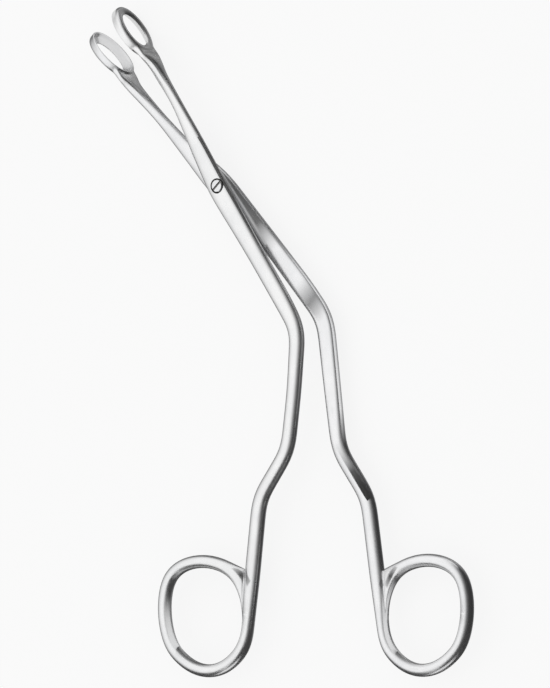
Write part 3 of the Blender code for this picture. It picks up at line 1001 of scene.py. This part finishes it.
@dataclass
class Studio:
    """The camera at the drawing's angle, one large soft lamp, toned cards and a pale floor.

    The drawing is seen from 36.5 degrees off the pivot axis. Three directions serve for
    everything: across, to the right in the plane of motion; along, up the image; and Z. The
    scale is in millimetres a pixel, angles are in degrees, and lamp, cards and floor are
    measured in metres. A shade of a side card is (angle, tone, cover).
    """

    plane_turn: float = 41.07
    tilt: float = 36.5
    scale: float = 0.2843
    image_centre: Pair = (275.0, 344.0)
    pivot_pixel: Pair = (222.15, 186.0)
    frame_height: float = 688.0
    lens: float = 1200.0
    sensor: float = 36.0
    clip_end: float = 100.0
    lamp_size: Pair = (1.7, 2.6)
    lamp_distance: float = 0.9
    lamp_lean: Pair = (-22.0, 8.0)
    lamp_radiance: float = 0.2
    card_radius: float = 0.35
    card_length: float = 2.0
    card_points: tuple[int, int] = (61, 41)
    right_shades: tuple[Triple, ...] = (
        (-12.0, 1.15, 1.0), (0.0, 0.9, 1.0), (12.0, 0.6, 1.0), (24.0, 0.34, 1.0),
        (45.0, 0.16, 1.0), (70.0, 0.06, 1.0), (138.0, 0.04, 1.0), (152.0, 0.12, 1.0),
        (170.0, 0.3, 1.0), (188.0, 0.3, 1.0))
    left_shades: tuple[Triple, ...] = (
        (-170.0, 0.3, 1.0), (-140.0, 0.14, 1.0), (-100.0, 0.16, 1.0), (-84.0, 0.5, 1.0),
        (-66.0, 0.8, 1.0), (-50.0, 1.0, 1.0), (-45.0, 1.0, 0.0), (-25.0, 1.0, 0.0))
    low_end: Pair = (-0.15, -0.25)
    low_tone: float = 0.06
    small_cards: tuple[Card, ...] = CARDS
    small_card_rows: int = 25
    background: float = 0.97
    world_light: float = 0.85
    floor_height: float = -0.0004
    floor_reach: float = 6.0
    floor_colour: Triple = (0.86, 0.86, 0.86)
    floor_roughness: float = 0.9
    floor_glow: float = 0.88

    def __post_init__(self) -> None:
        """Work out the directions and the point that the camera looks at.

        A level face shows what lies from it in the direction cos(tilt) rise - sin(tilt) across.
        """
        turn, tilt = math.radians(self.plane_turn), math.radians(self.tilt)
        self.across = np.array((math.cos(turn), -math.sin(turn), 0.0))
        self.along = np.array((math.sin(turn), math.cos(turn), 0.0))
        self.right = self.across * math.cos(tilt) - RISE * math.sin(tilt)
        self.toward = self.across * math.sin(tilt) + RISE * math.cos(tilt)
        self.shown = RISE * math.cos(tilt) - self.across * math.sin(tilt)
        right, down = np.array(self.image_centre) - np.array(self.pivot_pixel)
        self.middle = (PIVOT + (self.right * right - self.along * down) * self.scale) * MM

    def stand(self, thing: bpy.types.Object, *columns: Array) -> None:
        """Put an object in the scene, given its X, Y and Z directions and its place."""
        thing.matrix_world = Matrix(np.vstack((np.column_stack(columns), (0, 0, 0, 1))).tolist())
        bpy.context.scene.collection.objects.link(thing)

    def camera(self) -> None:
        """Place the camera."""
        data = bpy.data.cameras.new("camera")
        data.lens, data.sensor_width, data.clip_end = self.lens, self.sensor, self.clip_end
        distance = self.frame_height * self.scale * MM * self.lens / self.sensor
        thing = bpy.data.objects.new("camera", data)
        place = self.middle + self.toward * distance
        self.stand(thing, self.right, self.along, self.toward, place)
        bpy.context.scene.camera = thing

    def lamp(self) -> None:
        """Hang the soft lamp over the instrument, leaning to the left and up the image."""
        left, up = map(math.radians, self.lamp_lean)
        axis = unit(self.across * math.sin(left) + RISE * math.cos(left)
                    + self.along * math.tan(up))
        beside = unit(np.cross(self.along, axis))
        data = bpy.data.lights.new("soft_lamp", "AREA")
        data.shape = "RECTANGLE"
        data.size, data.size_y = self.lamp_size
        data.energy = self.lamp_radiance * math.pi * self.lamp_size[0] * self.lamp_size[1]
        thing = bpy.data.objects.new("soft_lamp", data)
        thing.visible_camera = False
        place = self.middle + axis * self.lamp_distance
        self.stand(thing, beside, np.cross(axis, beside), axis, place)

    def card(self, name: str, grid: Array, tones: Array, covers: Array) -> None:
        """Put up a toned card, which only the instrument's steel can see.

        Args:
            name: name of the card.
            grid: points as rows by columns by 3, in metres.
            tones: how bright the card is, as rows by columns or rows by 1.
            covers: how much of what is behind the card it hides, likewise.
        """
        rows, columns = grid.shape[:2]
        numbers = np.arange(rows * columns).reshape(rows, columns)
        quads = np.stack((numbers[:-1, :-1], numbers[:-1, 1:], numbers[1:, 1:], numbers[1:, :-1]),
                         axis=-1).reshape(-1, 4)
        mesh = bpy.data.meshes.new(name)
        mesh.from_pydata(grid.reshape(-1, 3).tolist(), [], quads.tolist())
        sheet = NodeSheet(bpy.data.materials.new(name))
        looks = {}
        for label, values in (("tone", tones), ("cover", covers)):
            layer = mesh.attributes.new(label, "FLOAT", "POINT")
            layer.data.foreach_set("value", np.broadcast_to(values, (rows, columns)).ravel())
            node = sheet.add("ShaderNodeAttribute", {"attribute_name": label})
            looks[label] = node.outputs["Fac"]
        clear = sheet.add("ShaderNodeBsdfTransparent")
        sheet.glow_over(clear.outputs["BSDF"], looks["cover"], looks["tone"])
        mesh.materials.append(sheet.owner)
        thing = put_in_scene(mesh)
        thing.visible_camera = thing.visible_shadow = thing.visible_diffuse = False

    def side_card(self, name: str, shades: tuple[Triple, ...]) -> None:
        """Stand a large graded card: a part of a tube about the image's upright.

        The tube is radius (sin(angle) across + cos(angle) rise) + length along, with the angle
        from Z towards the right. Its low end is dark, for the undersides of the finger rings.

        Args:
            name: name of the card.
            shades: (angle in degrees, tone, cover), in rising order of the angle.
        """
        angles, tones, covers = np.array(shades).T
        rows, columns = self.card_points
        fine = np.linspace(angles[0], angles[-1], rows)
        turn = np.radians(fine)[:, None, None]
        reach = self.card_length * np.linspace(-0.5, 0.5, columns)[None, :, None]
        grid = (self.middle + self.card_radius * (np.sin(turn) * self.across + np.cos(turn) * RISE)
                + reach * self.along)
        low_start, low_full = self.low_end
        low = np.clip((low_start - reach[:, :, 0]) / (low_start - low_full), 0.0, 1.0)
        tone = np.interp(fine, angles, tones)[:, None]
        cover = np.interp(fine, angles, covers)[:, None]
        self.card(name, grid, tone + (self.low_tone - tone) * low, np.maximum(cover, low))

    def small_card(self, card: Card) -> None:
        """Put up a small card, with its tones and covers spread along it."""
        t = np.linspace(0.0, 1.0, self.small_card_rows)
        tones, covers = (np.interp(t, np.linspace(0.0, 1.0, len(values)), values)[:, None]
                         for values in (card.tones, card.covers))
        self.card(card.name, card.grid(t[:, None, None], self.shown) * MM, tones, covers)

    def world(self) -> None:
        """Make the world grey for light and pale where it is seen."""
        world = bpy.data.worlds.new("studio")
        bpy.context.scene.world = world
        sheet = NodeSheet(world)
        backdrop = sheet.tree.nodes["Background"]
        strength = sheet.spread(sheet.seen(), UNIT, (self.world_light, self.background))
        sheet.set(backdrop.inputs["Color"], WHITE)
        sheet.set(backdrop.inputs["Strength"], strength)

    def floor(self) -> None:
        """Lay the pale floor, which keeps a soft shadow."""
        corners = self.floor_reach * np.array(((-1, -1), (1, -1), (1, 1), (-1, 1)))
        points = np.column_stack((corners, np.full(len(corners), self.floor_height)))
        mesh = bpy.data.meshes.new("floor")
        mesh.from_pydata(points.tolist(), [], [(0, 1, 2, 3)])
        thing = put_in_scene(mesh)
        sheet = NodeSheet(bpy.data.materials.new("floor"))
        sheet.set(sheet.shader.inputs["Base Color"], (*self.floor_colour, 1.0))
        sheet.set(sheet.shader.inputs["Roughness"], self.floor_roughness)
        share = sheet.spread(sheet.seen(), UNIT, (0.0, self.floor_glow))
        sheet.glow_over(sheet.shader.outputs["BSDF"], share, self.background)
        mesh.materials.append(sheet.owner)
        thing.visible_glossy = False

    def build(self) -> None:
        """Set up the camera, the light and the stage."""
        self.camera()
        self.lamp()
        self.side_card("right_card", self.right_shades)
        self.side_card("left_card", self.left_shades)
        for card in self.small_cards:
            self.small_card(card)
        self.world()
        self.floor()
        bpy.context.scene.view_settings.view_transform = "Standard"


UPPER_LIMB = Limb(
    name="upper_limb", body="upper_body", side=Side.UPPER,
    bends=(Bend(4.4, 38.4, 3.2, 3.2, 2.5, 0.0, 2.6), Bend(4.1, 28.5, 2.8, 2.4, 2.5, 0.75, 4.5),
           Bend(1.9, 14.5, 5.0, 2.6, 2.6, 1.0, 4.0), Bend(-0.75, 0.0, 6.5, 2.6, 2.8, 1.0, 4.0),
           Bend(-2.7, -22.0, 5.4, 2.9, 2.6, 1.0, 6.0), Bend(-4.5, -40.0, 5.5, 3.05, 2.5, 1.0, 4.0),
           Bend(-5.8, -49.2, 4.8, 3.2, 2.5, 1.0, 4.2),
           Bend(-18.0, -61.3, 4.4, 3.25, 2.4, 1.0, 4.0),
           Bend(-30.8, -72.7, 4.4, 3.3, 2.4, 1.0, 4.2),
           Bend(-48.0, -76.0, 4.6, 3.3, 2.4, 0.35, 4.0)),
    ring=FingerRing(centre=(-84.3, -88.0), lean=95.8),
    bore=((0.0, 3.8), (2.18, 3.8), (2.18, 1.95), (2.05, 1.9), (2.05, 1.75), (1.38, 1.75),
          (1.38, -1.0), (0.0, -1.0)),
    finish=PolishedSteel(name="upper_limb_steel", bright=(0.80, 0.80, 0.80),
                         deep=(0.74, 0.745, 0.75), **LIMB_POLISH))

LOWER_LIMB = Limb(
    name="lower_limb", body="lower_body", side=Side.LOWER,
    bends=(Bend(-4.65, 37.9, 3.4, 3.2, 2.5, 0.0, 2.6), Bend(-4.2, 29.8, 3.0, 2.4, 2.5, 0.75, 4.5),
           Bend(-3.1, 15.5, 4.7, 2.6, 2.6, 1.0, 4.0), Bend(-1.6, 6.0, 7.4, 2.6, 3.0, 1.0, 2.0),
           Bend(-0.7, 0.0, 8.0, 2.6, 3.2, 1.0, 3.0), Bend(1.4, -22.0, 5.7, 2.6, 3.4, 1.0, 6.0),
           Bend(1.95, -40.0, 6.1, 2.6, 3.6, 1.0, 4.0), Bend(1.9, -51.7, 5.6, 2.6, 3.6, 1.0, 4.6),
           Bend(-9.0, -68.0, 5.2, 2.7, 3.4, 1.0, 4.0), Bend(-19.0, -82.7, 4.7, 3.3, 2.4, 1.0, 4.2),
           Bend(-19.7, -100.3, 4.7, 3.3, 2.4, 0.35, 4.0)),
    ring=FingerRing(centre=(-25.5, -138.2), lean=2.8),
    bore=((0.0, 1.0), (1.33, 1.0), (1.33, -2.5), (2.33, -3.5), (0.0, -3.5)),
    finish=PolishedSteel(name="lower_limb_steel", bright=(0.79, 0.79, 0.795),
                         deep=(0.73, 0.735, 0.745), **LIMB_POLISH))

PIVOT_SCREW = PivotScrew(
    finish=PolishedSteel(name="pivot_screw_steel", bright=(0.74, 0.745, 0.75),
                         deep=(0.66, 0.665, 0.675), polish=(0.16, 0.24), line_width=0.12,
                         line_depth=0.002, hairline=0.08, follows=Coordinates.SPACE))


def main() -> None:
    """Build the studio and the instrument, piece by piece."""
    logging.basicConfig(level=logging.INFO, format="%(name)s: %(message)s")
    Studio().build()
    for part in (UPPER_LIMB, LOWER_LIMB, PIVOT_SCREW):
        thing = part.build()


if __name__ == "__main__":
    main()
